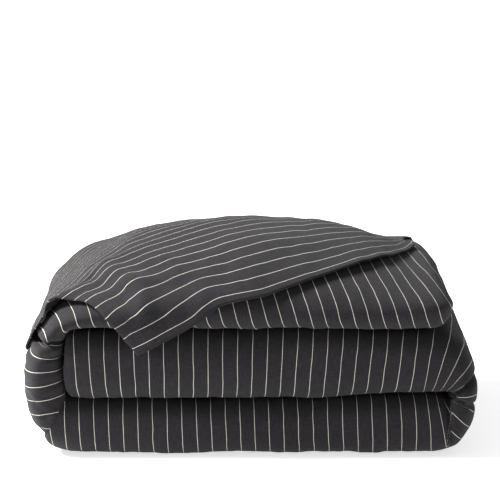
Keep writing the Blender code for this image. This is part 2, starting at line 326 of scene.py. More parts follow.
def lower_stations():
    """Bottom third, right fold and middle third, from the crease at the bottom left."""
    base = crease_height(-0.3)
    level = HALF_DEPTH - ROLL
    flat_x, fold_x, end_x = -0.240, 0.290, -0.297
    left_keys = [
        (-0.3105, base - 0.0005, -0.3500, 0.0285, 0.50, 2.3),
        (-0.3060, base - 0.0005, -0.3425, 0.0165, 0.50, 2.3),
        (-0.2980, base - 0.0005, -0.3290, 0.0078, 0.50, 2.3),
        (-0.2850, base - 0.0005, -0.3070, 0.0028, 0.50, 2.3),
        (-0.2650, base - CREASE_GAP, -0.2780, 0.0008, 0.50, 2.3),
        (flat_x, base - CREASE_GAP, flat_x, GROUND_GAP, 0.50, 2.3),
    ]
    rows = []
    for i, key in enumerate(through(left_keys, START_STATIONS)):
        full, loss = tucked(i * STATION_STEP)
        rows.append((*key, level, HALF_DEPTH - loss, full, full))
    for x in np.linspace(flat_x, fold_x, 112)[1:]:
        low = crease_height(x) - CREASE_GAP
        rows.append((x, low, x, GROUND_GAP, 0.5, 2.3, level, HALF_DEPTH, 1, 1))
    core_x, core_z = 0.326, crease_height(0.300)
    fold_keys = [
        (fold_x, core_z - CREASE_GAP, fold_x, GROUND_GAP, 0.50, 2.3),
        (0.312, core_z - 0.0022, 0.3260, 0.0036, 0.52, 2.2),
        (core_x - 0.002, core_z - 0.0030, 0.3520, 0.0155, 0.55, 2.1),
        (core_x + 0.001, core_z - 0.0016, 0.3710, 0.0420, 0.55, 2.1),
        (core_x + 0.002, core_z - 0.0006, 0.3810, 0.0780, 0.55, 2.0),
        (core_x + 0.002, core_z + 0.0006, RIGHT_X, 0.1180, 0.55, 2.0),
        (core_x + 0.001, core_z + 0.0016, 0.3770, 0.1560, 0.55, 2.0),
        (core_x - 0.002, core_z + 0.0030, 0.3600, 0.1900, 0.55, 2.1),
        (0.312, core_z + 0.0022, 0.3320, 0.2080, 0.52, 2.2),
        (fold_x, core_z + CREASE_GAP, fold_x, MIDDLE_TOP_Z, 0.50, 2.3),
    ]
    for key in through(fold_keys, 84)[1:]:
        rows.append((*key, level, HALF_DEPTH, 1, 1))
    for x in np.linspace(fold_x, end_x, 114)[1:]:
        low = crease_height(x) + CREASE_GAP
        rows.append((x, low, x, MIDDLE_TOP_Z, 0.5, 2.3, level, HALF_DEPTH, 1, 1))
    end_steps = 16
    for i in range(1, end_steps + 1):
        turn = math.pi / 2 * i / end_steps
        x = end_x - 0.0140 * math.sin(turn)
        full = max(0.03, math.cos(turn) ** 0.4)
        low = crease_height(x) + CREASE_GAP
        depth = HALF_DEPTH - 0.016 * (1 - full)
        rows.append((x, low, x, MIDDLE_TOP_Z, 0.5, 2.3, level, depth, full, full))
    return rows


def crown_height(x):
    """Height of the top third's ridge, which falls away to both ends."""
    share = np.clip(1 - (abs(x) / 0.368) ** 1.85, 0, 1) ** (1 / 1.85)
    full_end = 0.030 * smooth((x - 0.258) / 0.100)
    return UPPER_SEAM_Z + 0.001 + (sizes().crown - UPPER_SEAM_Z) * share + full_end


def upper_stations():
    """Left fold and top third, from the crease at the bottom left to the closed right end."""
    base = UPPER_SEAM_Z + 0.0042
    low = crease_height(-0.3)
    start_x = -0.200
    fold_keys = [
        (-0.3108, low + 0.0002, -0.3482, 0.0262, 0.50, 2.2, 0.200),
        (-0.3125, 0.1010, -0.3660, 0.0480, 0.50, 2.2, 0.200),
        (-0.3130, 0.1130, -0.3785, 0.0760, 0.50, 2.2, 0.200),
        (-0.3130, 0.1350, LEFT_X, 0.1180, 0.50, 2.2, 0.200),
        (-0.3130, 0.1600, -0.3800, 0.1545, 0.50, 2.2, 0.190),
        (-0.3120, 0.1850, -0.3690, 0.1850, 0.50, 2.2, 0.170),
        (-0.3060, 0.2070, -0.3590, 0.2130, 0.48, 2.1, 0.140),
        (-0.2960, base - 0.001, -0.3390, 0.2390, 0.44, 2.0, 0.100),
        (-0.2820, base, -0.3130, 0.2630, 0.38, 1.9, 0.070),
        (-0.2640, base, -0.2830, 0.2850, 0.34, 1.8, 0.040),
        (-0.2360, base, -0.2450, 0.3060, 0.31, 1.75, 0.015),
        (start_x, base, start_x - 0.007, crown_height(start_x), 0.29, 1.7, 0.000),
    ]
    rows = []
    for i, key in enumerate(through(fold_keys, FOLD_STATIONS)):
        full, loss = tucked(i * STATION_STEP)
        rows.append((*key, HALF_DEPTH - loss, full, full))
    for x in np.linspace(start_x, TOP_END_X - 0.001, 128)[1:]:
        lean = -0.007 * (1 - smooth((x - start_x) / 0.08))
        height = crown_height(x)
        end = smooth((x - 0.205) / 0.12)
        near_end = np.clip((x - 0.295) / (TOP_END_X - 0.295), 0, 1)
        outer_full = max(0.03, (1 - near_end**2.5) ** 0.5)
        inner_full = max(0.03, (1 - near_end**3) ** 0.5)
        share = (0.034 + 0.004 * end) / (height - base)
        power = 1.7 + 0.5 * end
        depth = HALF_DEPTH - 0.080 * (1 - inner_full)
        rows.append((x, base, x + lean, height, share, power, 0.0, depth, outer_full, inner_full))
    return rows


def upper_strip():
    """The left fold and top third, whose right end is drawn in towards the back."""
    points, along, rounds = strip(upper_stations())
    x, y = points[:, :, 0], points[:, :, 1]
    back = np.clip((y + HALF_DEPTH) / (2 * HALF_DEPTH), 0, 1)
    x -= 0.020 * back**1.3 * smooth((x - 0.12) / 0.22)
    return points, along, rounds


def band(v, low, high, soft):
    return smooth((v - low) / soft) * smooth((high - v) / soft)


def swell(u, v, front):
    """Soft unevenness of the stuffed cover, in metres along its normals."""
    depth = sizes().wrinkle
    wide = wander(u, v, 0.17, 0.10, 3) * 1.1 + wander(u, v, 0.075, 0.12, 5) * 0.55
    fine = wander(u, v, 0.022, 0.060, 7) * 0.30 + wander(u, v, 0.010, 0.035, 9) * 0.09
    pucker = wander(u, v * 0, 0.013, 1.0, 11) * front
    return depth * (wide + fine) + 0.0011 * pucker


def cloth_uv(u, rounds, lean):
    """Cloth coordinates: the stripes run round the strip, and lean a little on the front."""
    front = 0.26 * np.tanh(rounds / 0.26) * smooth((0.62 - np.abs(rounds)) / 0.25)
    u = u + lean * front
    u += 0.0013 * wander(u, rounds, 0.12, 0.06, 21) + 0.0005 * wander(u, rounds, 0.03, 0.02, 23)
    return np.stack([u, rounds], axis=2)


def outward(points):
    """Unit normals of a strip, pointing out of it."""
    normals = facing(points)
    front = normals[:, INNER_POINTS + EDGE_POINTS, 1]
    return normals * (-1 if front.mean() > 0 else 1)


def build_lower():
    points, along, rounds = strip(lower_stations())
    middle_x = points[:, :, 0].mean(axis=1)
    upper_half = points[:, :, 2].mean(axis=1) > SEAM_Z
    lean = np.where(upper_half, 0.03 + 0.30 * middle_x, -0.03)
    lean = np.convolve(lean, np.ones(25) / 25, mode="same")
    u = np.broadcast_to(along[:, None], rounds.shape).copy()
    last = START_STATIONS - 1
    u[:last] = along[last] + points[:last, :, 0] - points[last, 0, 0]
    uv = cloth_uv(gathered_stripes(points, along, u), rounds, lean[:, None])
    crease = bump(rounds, -0.062, 0.020) + bump(rounds, 0.070, 0.020)
    lift = swell(u, rounds, crease) * band(np.abs(rounds), -0.2, 0.30, 0.12)
    lift -= pinch(points)
    points = points + outward(points) * lift[:, :, None]
    points[:, -1] = points[:, 0]
    points[:, :, 2] = np.maximum(points[:, :, 2], GROUND_GAP)
    return skin("duvet_lower", points, uv)


def ray(points, start, end, width):
    """1 on a line across the strip's front, seen from the front, and 0 away from it."""
    x, y, z = points[:, :, 0], points[:, :, 1], points[:, :, 2]
    dx, dz = end[0] - start[0], end[1] - start[1]
    length = math.hypot(dx, dz)
    t = ((x - start[0]) * dx + (z - start[1]) * dz) / length
    off = ((z - start[1]) * dx - (x - start[0]) * dz) / length
    inside = smooth((t + 0.006) / 0.012) * smooth((length + 0.01 - t) / 0.02)
    return bump(off, 0.0, width) * inside * smooth((-y - 0.15) / 0.07)


def pinch(points):
    """Creases where the right fold is gathered round its core."""
    core = (0.3285, 0.1020)
    depth = 0.0140 * ray(points, core, (0.3850, 0.1385), 0.0044)
    depth += 0.0110 * ray(points, (core[0] + 0.018, core[1] - 0.002), (0.3860, 0.0830), 0.0040)
    depth += 0.0100 * ray(points, core, (0.3350, 0.0280), 0.0045)
    return depth


def gathered_stripes(points, along, u):
    """Distance along the strip for its stripes, which slant where the right fold is gathered."""
    x, z = points[:, :, 0], points[:, :, 2]
    start = along[np.argmax(x[:, 0] > 0.289)] + 0.045
    slant = start + ((x - 0.334) + (z - 0.095)) * math.sqrt(0.5)
    under = 0.1020 - 0.33 * (x - 0.3285)
    share = smooth((x - 0.3345) / 0.004 + 0.5) * smooth((under - z) / 0.004 + 0.5)
    return u * (1 - share) + slant * share


def radial_crease(points):
    """Creases where the strip turns from the left side onto the top."""
    depth = 0.0150 * ray(points, (-0.3130, 0.1940), (-0.3850, 0.1990), 0.0052)
    depth += 0.0040 * ray(points, (-0.3120, 0.1700), (-0.3600, 0.1760), 0.0050)
    return depth + 0.0030 * ray(points, (-0.3350, 0.0700), (-0.3800, 0.1120), 0.0060)


def left_stripes(points, along):
    """Distance along the strip for its stripes, which turn sharply where its sides are mitred."""
    x, z = points[:, :, 0], points[:, :, 2]
    u = np.broadcast_to(along[:, None], x.shape).copy()
    side = along[40] - points[40, :, 2].mean() + z
    tilt = -0.18 + 0.45 * smooth((z - 0.12) / 0.08)
    side = side + tilt * (x + 0.350)
    top = along[FOLD_STATIONS - 1] - points[FOLD_STATIONS - 1, 0, 0] + x
    mitre = 0.1955 + 0.36 * np.clip(x + 0.325, 0, 0.06)
    share = smooth((z - mitre) / 0.005 + 0.5)
    fold = side * (1 - share) + top * share
    u[:FOLD_STATIONS] = fold[:FOLD_STATIONS]
    return u


def upper_swell(along, rounds):
    u = np.broadcast_to(along[:, None], rounds.shape)
    return swell(u, rounds, bump(rounds, -0.045, 0.020))


def inner_stripes(points, along, u):
    """Inside the fold the stripes are spaced as they lie when the top third is opened."""
    last = FOLD_STATIONS - 1
    inside = points[: last + 1, INNER_POINTS // 2]
    dx, dz = inside[:, 0] - OPENING[0], inside[:, 2] - OPENING[2]
    turn = OPENED * smooth((inside[:, 2] - BEND_START_Z) / (UPPER_SEAM_Z - BEND_START_Z))
    opened = np.hypot(
        np.diff(dx * np.cos(turn) - dz * np.sin(turn)),
        np.diff(dx * np.sin(turn) + dz * np.cos(turn)),
    )
    run = np.concatenate([[0], np.cumsum(opened)])
    laid = along[last] + run - run[-1]
    depth = np.abs(points[: last + 1, :INNER_POINTS, 1])
    share = smooth((HALF_DEPTH - ROLL - depth) / 0.03)
    u[: last + 1, :INNER_POINTS] += share * (laid[:, None] - u[: last + 1, :INNER_POINTS])
    return u


def build_upper():
    points, along, rounds = upper_strip()
    x, z = points[:, :, 0], points[:, :, 2]
    lean = 0.26 * smooth((z - 0.185) / 0.03)
    uv = cloth_uv(inner_stripes(points, along, left_stripes(points, along)), rounds, lean)
    lift = upper_swell(along, rounds) - radial_crease(points)
    lift += 0.0022 * wander(x, z, 0.030, 0.012, 51) * smooth((-0.30 - x) / 0.03)
    points = points + outward(points) * lift[:, :, None]
    points[:, -1] = points[:, 0]
    return skin("duvet_upper", points, uv)


# ---- The turned-back end of the cover ----------------------------------------------------------


class TopSurface:
    """The upper skin as a surface that cloth can lie on.

    A place on it is a distance along the strip from the crown, and a distance up from the
    widest line at the front. Below that line the cloth hangs, a little out from the layers."""

    def __init__(self):
        points, along, rounds = upper_strip()
        first = INNER_POINTS + EDGE_POINTS
        outer = slice(first, first + OUTER_POINTS + 1)
        normals = outward(points)[:, outer]
        swollen = points[:, outer] + normals * upper_swell(along, rounds)[:, outer, None]
        self.points, self.normals = swollen, normals
        ridge = self.points[:, OUTER_POINTS // 2]
        run = np.concatenate([[0], np.cumsum(np.linalg.norm(np.diff(ridge, axis=0), axis=1))])
        self.along = run - np.interp(0.0, ridge[:, 0], run)
        self.girth = np.linalg.norm(np.diff(self.points, axis=1), axis=2).sum(axis=1)

    def at(self, s, w):
        """Points and normals for places on the surface."""
        i = np.interp(s, self.along, np.arange(len(self.along)))
        low = np.minimum(i.astype(int), len(self.along) - 2)
        share = (i - low)[..., None]
        point, normal = 0.0, 0.0
        for k, weight in ((low, 1 - share), (low + 1, share)):
            j = np.clip(w / self.girth[k], 0, 1) * OUTER_POINTS
            a = np.minimum(j.astype(int), OUTER_POINTS - 1)
            t = (j - a)[..., None]
            point = point + weight * (self.points[k, a] * (1 - t) + self.points[k, a + 1] * t)
            normal = normal + weight * (self.normals[k, a] * (1 - t) + self.normals[k, a + 1] * t)
        normal = normal / np.linalg.norm(normal, axis=-1, keepdims=True)
        hang = np.maximum(-w, 0)
        point[..., 2] -= hang * 0.97
        corner = smooth((s + 0.34) / 0.10) * smooth((0.02 - s) / 0.12)
        point[..., 1] -= 0.20 * np.clip(0.05 - w, 0, 0.11) * corner
        return point, normal


FLAP_TURN = math.radians(33)
BACK_FOLD_Y = 0.262  # where the flap turns down at the back
FLAP_SEGMENTS = 160
FLAP_LEFT, FLAP_RIGHT = -0.480, 0.366  # the flat cloth's ends, along the strip
FIRST_STRIPE = 0.0141  # from the near edge to the first pinstripe
FLAP_CORNER = (-0.1910, -0.0660)
# the near edge, from the free corner over the front and across the top
NEAR_EDGE = [
    FLAP_CORNER,
    (-0.153, -0.0490),
    (-0.098, -0.0205),
    (-0.070, -0.0015),
    (-0.042, 0.0135),
    (0.000, 0.0205),
    (0.038, 0.0310),
    (0.118, 0.0730),
    (0.180, 0.1180),
    (0.236, 0.1820),
    (0.277, 0.2620),
    (0.306, 0.3480),
    (0.328, 0.4550),
]
# the hem, from the free corner over the left shoulder and down the side
HEM_EDGE = [
    FLAP_CORNER,
    (-0.228, -0.0220),
    (-0.252, 0.0010),
    (-0.278, 0.0220),
    (-0.305, 0.0400),
    (-0.332, 0.0520),
    (-0.352, 0.0560),
    (-0.368, 0.0510),
    (-0.379, 0.0430),
    (-0.394, 0.0440),
    (-0.416, 0.0600),
    (-0.440, 0.0900),
    (-0.458, 0.1400),
    (-0.474, 0.2400),
    (-0.492, 0.4200),
]


def edge_place(keys, distance):
    """A place on an edge of the flap, this far along it from the free corner."""
    edge = through(keys, 240)
    run = np.concatenate([[0], np.cumsum(np.hypot(*np.diff(edge, axis=0).T))])
    return np.interp(distance, run, edge[:, 0]), np.interp(distance, run, edge[:, 1])


def flap_place(a, c):
    """Where a point of the flat flap lies on the top: along the strip, and up from the front.

    a runs along the near edge from the free corner, and c runs in from that edge."""
    cos, sin = math.cos(FLAP_TURN), math.sin(FLAP_TURN)
    near_s, near_w = edge_place(NEAR_EDGE, a)
    hem_s, hem_w = edge_place(HEM_EDGE, c)
    corner_s, corner_w = FLAP_CORNER
    near, hem = np.exp(-((c / 0.16) ** 2)), np.exp(-((a / 0.16) ** 2))
    s = corner_s + a * cos - c * sin
    w = corner_w + a * sin + c * cos
    s += (near_s - corner_s - a * cos) * near + (hem_s - corner_s + c * sin) * hem
    w += (near_w - corner_w - a * sin) * near + (hem_w - corner_w - c * cos) * hem
    return s, w


def flap_underside(a, c):
    """Points on the underside of the flap, where these points of the flat cloth lie."""
    point, normal = TopSurface().at(*flap_place(a, c))
    back = smooth((BACK_FOLD_Y - point[:, 1]) / 0.04)
    side = smooth((c - 0.30) / 0.08) * np.exp(-((a / 0.20) ** 2))
    hem = 0.0007 * (1 - smooth((a - 0.026) / 0.004)) + 0.0005 * (1 - smooth((c - 0.008) / 0.003))
    right = smooth((a - 0.50) / 0.13)
    lift = 0.0045 - 0.0030 * np.maximum(side, right) + hem + flap_ripples(a, c) * (1 - 0.8 * right)
    return point + normal * (lift * back - 0.001 * (1 - back))[:, None]


def flat_area(sheet):
    """Area and extent of the cut cloth, from its cloth coordinates."""
    layer = sheet.loops.layers.uv.verify()
    area, places = 0.0, []
    for face in sheet.faces:
        corners = [loop[layer].uv for loop in face.loops]
        around = zip(corners, corners[1:] + corners[:1])
        area += abs(sum(p.x * q.y - q.x * p.y for p, q in around)) / 2
        places += [tuple(corner) for corner in corners]
    extent = np.ptp(np.array(places), axis=0)
    return area, (float(extent[0]), float(extent[1]))


def build_flap():
    """Both plies of the empty end of the cover, cut flat and laid over the top."""
    length, width = sizes().flap_length, sizes().flap_width
    sheet = bmesh.new()
    bmesh.ops.create_grid(
        sheet, x_segments=FLAP_SEGMENTS, y_segments=FLAP_SEGMENTS, size=0.5, calc_uvs=True
    )
    placing = Matrix.Diagonal((length, width, 1, 1)) @ Matrix.Translation((0.5, 0.5, 0))
    bmesh.ops.transform(sheet, matrix=placing, verts=sheet.verts)
    cos, sin = math.cos(FLAP_TURN), math.sin(FLAP_TURN)
    for limit, side in ((FLAP_LEFT, -1), (FLAP_RIGHT, 1)):
        reach = (limit - FLAP_CORNER[0]) * cos, -(limit - FLAP_CORNER[0]) * sin
        bmesh.ops.bisect_plane(
            sheet,
            geom=sheet.verts[:] + sheet.edges[:] + sheet.faces[:],
            plane_co=(*reach, 0),
            plane_no=(side * cos, -side * sin, 0),
            clear_outer=True,
        )
    layer = sheet.loops.layers.uv.verify()
    first = sizes().stripe_pitch / 2 - FIRST_STRIPE
    for face in sheet.faces:
        for loop in face.loops:
            loop[layer].uv = (loop.vert.co.y + first, loop.vert.co.x)
    flat = np.array([vert.co[:2] for vert in sheet.verts])
    for vert, place in zip(sheet.verts, flap_underside(flat[:, 0], flat[:, 1])):
        vert.co = place
    bmesh.ops.bisect_plane(
        sheet,
        geom=sheet.verts[:] + sheet.edges[:] + sheet.faces[:],
        plane_co=(0, BACK_FOLD_Y, 0),
        plane_no=(0, 1, 0),
        clear_outer=True,
    )
    bmesh.ops.recalc_face_normals(sheet, faces=sheet.faces)
    if sum(face.normal.z for face in sheet.faces) < 0:
        bmesh.ops.reverse_faces(sheet, faces=sheet.faces)
    area, extent = flat_area(sheet)
    flap = new_piece("flap_sheet", sheet)
    wall = flap.modifiers.new("two plies", "SOLIDIFY")
    wall.thickness = sizes().flap_thickness
    wall.offset = 1.0
    with bpy.context.temp_override(object=flap, active_object=flap):
        bpy.ops.object.modifier_apply(modifier=wall.name)
    return flap, area, extent


def flap_ripples(a, c):
    """Height of the loose cloth's waves, stronger where it turns down over the left shoulder."""
    gentle = 0.0020 * (1 + wander(a, c, 0.12, 0.09, 41)) + 0.0008 * wander(a, c, 0.03, 0.05, 43)
    length = smooth((c - 0.03) / 0.06) * smooth((0.34 - c) / 0.10)
    line = a - 0.042 - 0.28 * np.clip(c - 0.05, 0, 0.3) + 0.005 * np.sin(c * 2 * math.pi / 0.13)
    fold = (0.0090 * bump(line, 0.018, 0.020) - 0.0030 * bump(line, -0.014, 0.016)) * length
    waves = 0.0014 * (1 + np.sin((c + 0.30 * a) * 2 * math.pi / 0.062)) * bump(a, 0.06, 0.08)
    hem = 0.0120 * bump(c, 0.205, 0.024) * np.exp(-a / 0.035)
    edge = 0.0012 * (1 + np.sin(a * 2 * math.pi / 0.21 + 0.7)) * np.exp(-c / 0.04)
    calm = 1 - 0.85 * smooth((c - 0.225) / 0.05) * np.exp(-((a / 0.14) ** 2))
    return (gentle + fold + waves + edge) * calm + hem


# ---- Buttons -----------------------------------------------------------------------------------

BUTTON_RADIUS, BUTTON_THICKNESS = 0.0085, 0.0024
BUTTON_HEM = 0.015  # from the end of the hem to the buttons' middles
BUTTON_FIRST, BUTTON_PITCH, BUTTON_COUNT = 0.0475, 0.1025, 4
BUTTON_DISH = 0.62  # depth of the face at its middle, as a share of the thickness
BUTTON_GAP = 0.0002  # under the cloth
HOLE_OFFSET, HOLE_RADIUS = 0.0021, 0.0011
THREAD_RADIUS = 0.0005
STITCH_RISE = 0.42  # a stitch stands out this share of a half ring


def button_blank():
    """A turned disc with its back at Z = 0, a rounded rim and a dished face below."""
    outline = (
        (0.00, 0.00),
        (0.82, 0.00),
        (0.96, 0.12),
        (1.00, 0.45),
        (0.97, 0.80),
        (0.88, 1.00),
        (0.78, 0.96),
        (0.68, 0.66),
        (0.00, BUTTON_DISH),
    )
    disc = bmesh.new()
    rim = [disc.verts.new((r * BUTTON_RADIUS, 0, -h * BUTTON_THICKNESS)) for r, h in outline]
    line = [disc.edges.new(pair) for pair in zip(rim, rim[1:])]
    bmesh.ops.spin(
        disc,
        geom=rim + line,
        cent=(0, 0, 0),
        axis=(0, 0, 1),
        angle=2 * math.pi,
        steps=48,
        use_merge=True,
    )
    bmesh.ops.remove_doubles(disc, verts=disc.verts, dist=0.00001)
    bmesh.ops.recalc_face_normals(disc, faces=disc.faces)
    return disc


def drill_holes(button):
    """Drills the four sewing holes."""
    drills = bmesh.new()
    for x in (-HOLE_OFFSET, HOLE_OFFSET):
        for y in (-HOLE_OFFSET, HOLE_OFFSET):
            bmesh.ops.create_cone(
                drills,
                cap_ends=True,
                segments=16,
                radius1=HOLE_RADIUS,
                radius2=HOLE_RADIUS,
                depth=0.01,
                matrix=Matrix.Translation((x, y, 0)),
            )
    cutter = new_piece("drills", drills)
    cut = button.modifiers.new("holes", "BOOLEAN")
    cut.operation = "DIFFERENCE"
    cut.object = cutter
    with bpy.context.temp_override(object=button, active_object=button):
        bpy.ops.object.modifier_apply(modifier=cut.name)
    bpy.data.meshes.remove(cutter.data)


def add_stitch(threads, y):
    """Half a ring of thread that comes out of one hole and goes into the next."""
    start = bmesh.ops.create_circle(threads, segments=10, radius=THREAD_RADIUS)["verts"]
    across = Matrix.Translation((HOLE_OFFSET, y, 0))
    bmesh.ops.transform(threads, matrix=across, verts=start)
    edges = list(dict.fromkeys(edge for vert in start for edge in vert.link_edges))
    bmesh.ops.spin(
        threads,
        geom=start + edges,
        cent=(0, y, 0),
        axis=(0, 1, 0),
        angle=math.pi,
        steps=12,
    )


def button_frame(number):
    """Where a button is sewn: flat against the underside of the hem."""
    across = BUTTON_FIRST + number * BUTTON_PITCH
    a = BUTTON_HEM + BUTTON_RADIUS * np.array([-1, 1, 0, 0, 0])
    c = across + BUTTON_RADIUS * np.array([0, 0, -1, 1, 0])
    left, right, near, far, middle = flap_underside(a, c)
    along = Vector(right - left).normalized()
    normal = along.cross(Vector(far - near)).normalized()
    if normal.dot(Vector((0, -0.5, 1))) < 0:
        normal.negate()
    low = min(Vector(place - middle).dot(normal) for place in (left, right, near, far, middle))
    turned = Matrix((along, normal.cross(along), normal)).transposed().to_4x4()
    return Matrix.Translation(Vector(middle) + normal * (low - BUTTON_GAP)) @ turned


def build_button(number):
    blank = button_blank()
    button = new_piece(f"horn_button_{number + 1}", blank)
    drill_holes(button)
    button.data.transform(button_frame(number))
    return button


def build_threads():
    """The sewing threads of all the buttons, two stitches each."""
    threads = bmesh.new()
    face = -BUTTON_DISH * BUTTON_THICKNESS
    for number in range(BUTTON_COUNT):
        stitches = bmesh.new()
        for y in (-HOLE_OFFSET, HOLE_OFFSET):
            add_stitch(stitches, y)
        bmesh.ops.scale(stitches, vec=(1, 1, STITCH_RISE), verts=stitches.verts)
        bmesh.ops.translate(stitches, vec=(0, 0, face + 0.0001), verts=stitches.verts)
        ends = [edge for edge in stitches.edges if edge.is_boundary]
        bmesh.ops.holes_fill(stitches, edges=ends, sides=0)
        bmesh.ops.recalc_face_normals(stitches, faces=stitches.faces)
        bmesh.ops.transform(stitches, matrix=button_frame(number), verts=stitches.verts)
        sewn = bpy.data.meshes.new("stitches")
        stitches.to_mesh(sewn)
        stitches.free()
        threads.from_mesh(sewn)
        bpy.data.meshes.remove(sewn)
    return new_piece("button_threads", threads)


# ---- Materials ---------------------------------------------------------------------------------


def nodes_of(name):
    made = bpy.data.materials.new(name)
    made.use_nodes = True
    tree = made.node_tree
    return made, tree, tree.nodes["Principled BSDF"]


def math_node(tree, operation, first, second=None, clamp=False):
    node = tree.nodes.new("ShaderNodeMath")
    node.operation = operation
    node.use_clamp = clamp
    for socket, value in zip(node.inputs, (first, second)):
        if value is None:
            continue
        if isinstance(value, (int, float)):
            socket.default_value = value
        else:
            tree.links.new(value, socket)
    return node.outputs[0]


def noise(tree, vector, scale, detail):
    node = tree.nodes.new("ShaderNodeTexNoise")
    node.inputs["Scale"].default_value = scale
    node.inputs["Detail"].default_value = detail
    tree.links.new(vector, node.inputs["Vector"])
    return node.outputs["Fac"]


def stretched(tree, vector, scale):
    node = tree.nodes.new("ShaderNodeMapping")
    node.inputs["Scale"].default_value = scale
    tree.links.new(vector, node.inputs["Vector"])
    return node.outputs["Vector"]


def shade(colour, share):
    return [channel * share for channel in colour]


def mix_colours(tree, factor, first, second):
    """A mix of two colours, each of them plain or from another node."""
    node = tree.nodes.new("ShaderNodeMix")
    node.data_type = "RGBA"
    tree.links.new(factor, node.inputs["Factor"])
    for socket, colour in ((node.inputs["A"], first), (node.inputs["B"], second)):
        if isinstance(colour, bpy.types.NodeSocket):
            tree.links.new(colour, socket)
        else:
            socket.default_value = (*colour, 1)
    return node.outputs["Result"]


def set_relief(tree, shader, height, strength, distance):
    node = tree.nodes.new("ShaderNodeBump")
    node.inputs["Strength"].default_value = strength
    node.inputs["Distance"].default_value = distance
    tree.links.new(height, node.inputs["Height"])
    tree.links.new(node.outputs["Normal"], shader.inputs["Normal"])


STRIPE_SOFTNESS = 0.0003  # width over which a pinstripe's edge fades
STRIPE_WAVER = 0.0009  # how far a pinstripe strays from straight
THREAD_PITCH = 0.0009  # of the weave


def stripe_mask(tree, across):
    """1 on the cream yarns and 0 between, along the piece's stripes."""
    pitch, width = sizes().stripe_pitch, sizes().stripe_width
    turns = math_node(tree, "DIVIDE", across, pitch)
    phase = math_node(tree, "FRACT", turns)
    off = math_node(tree, "ABSOLUTE", math_node(tree, "SUBTRACT", phase, 0.5))
    metres = math_node(tree, "MULTIPLY", off, pitch)
    inside = math_node(tree, "SUBTRACT", width / 2 + STRIPE_SOFTNESS / 2, metres)
    return math_node(tree, "DIVIDE", inside, STRIPE_SOFTNESS, clamp=True)


HEM_STITCHES = 0.0275  # from the end of the flap to its row of stitches
STITCH_PITCH, STITCH_SHARE = 0.0032, 0.62
STITCH_HALF_WIDTH = 0.0004


def stitch_mask(tree, u, v):
    """1 on the stitches that hold the hem down, in a row across the stripes."""
    off = math_node(tree, "ABSOLUTE", math_node(tree, "SUBTRACT", v, HEM_STITCHES))
    near = math_node(tree, "LESS_THAN", off, STITCH_HALF_WIDTH)
    phase = math_node(tree, "FRACT", math_node(tree, "DIVIDE", u, STITCH_PITCH))
    return math_node(tree, "MULTIPLY", near, math_node(tree, "LESS_THAN", phase, STITCH_SHARE))


def linen(name, hemmed=False):
    """Slubby charcoal linen with cream pinstripes, woven on the piece's cloth coordinates."""
    made, tree, shader = nodes_of(name)
    cloth, stripe = sizes().cloth, sizes().stripe
    flat = tree.nodes.new("ShaderNodeUVMap").outputs["UV"]
    parts = tree.nodes.new("ShaderNodeSeparateXYZ")
    tree.links.new(flat, parts.inputs[0])
    u, v = parts.outputs["X"], parts.outputs["Y"]

    stray = math_node(tree, "SUBTRACT", noise(tree, flat, 45, 2), 0.5)
    across = math_node(tree, "ADD", u, math_node(tree, "MULTIPLY", stray, STRIPE_WAVER))
    mask = stripe_mask(tree, across)

    warp = noise(tree, stretched(tree, flat, (1400, 60, 1)), 1, 3)
    weft = noise(tree, stretched(tree, flat, (60, 1400, 1)), 1, 3)
    slub = math_node(tree, "ADD", warp, weft)
    heather = math_node(tree, "SUBTRACT", slub, 1.0)
    clouds = math_node(tree, "SUBTRACT", noise(tree, flat, 9, 4), 0.5)
    wear = math_node(tree, "MULTIPLY", clouds, 0.3)

    tone = math_node(tree, "ADD", math_node(tree, "MULTIPLY", heather, 1.7), wear)
    light = math_node(tree, "ADD", tone, 0.5, clamp=True)
    finish = mix_colours(tree, light, shade(cloth, 0.50), shade(cloth, 1.60))
    yarn = math_node(tree, "ADD", math_node(tree, "MULTIPLY", heather, 0.9), 0.92, clamp=True)
    finish = mix_colours(tree, math_node(tree, "MULTIPLY", mask, yarn), finish, stripe)
    if hemmed:
        finish = mix_colours(tree, stitch_mask(tree, u, v), finish, shade(cloth, 2.4))
    tree.links.new(finish, shader.inputs["Base Color"])

    waves = [
        math_node(tree, "SINE", math_node(tree, "MULTIPLY", way, 2 * math.pi / THREAD_PITCH))
        for way in (u, v)
    ]
    weave = math_node(tree, "MULTIPLY", math_node(tree, "MULTIPLY", *waves), 0.25)
    set_relief(tree, shader, math_node(tree, "ADD", weave, slub), 0.55, 0.0006)
    rough = math_node(tree, "ADD", math_node(tree, "MULTIPLY", heather, 0.1), 0.90, clamp=True)
    tree.links.new(rough, shader.inputs["Roughness"])
    shader.inputs["Sheen Weight"].default_value = 0.05
    shader.inputs["Sheen Roughness"].default_value = 0.55
    shader.inputs["Specular IOR Level"].default_value = 0.12
    return made


def horn():
    """Dark polished horn with faint lighter streaks."""
    made, tree, shader = nodes_of("dark horn")
    place = tree.nodes.new("ShaderNodeTexCoord").outputs["Object"]
    streaks = noise(tree, stretched(tree, place, (900, 160, 160)), 1, 5)
    colour = mix_colours(tree, streaks, shade(sizes().horn, 0.55), shade(sizes().horn, 1.9))
    tree.links.new(colour, shader.inputs["Base Color"])
    rough = math_node(tree, "ADD", math_node(tree, "MULTIPLY", streaks, 0.25), 0.26)
    tree.links.new(rough, shader.inputs["Roughness"])
    shader.inputs["Specular IOR Level"].default_value = 0.5
    return made


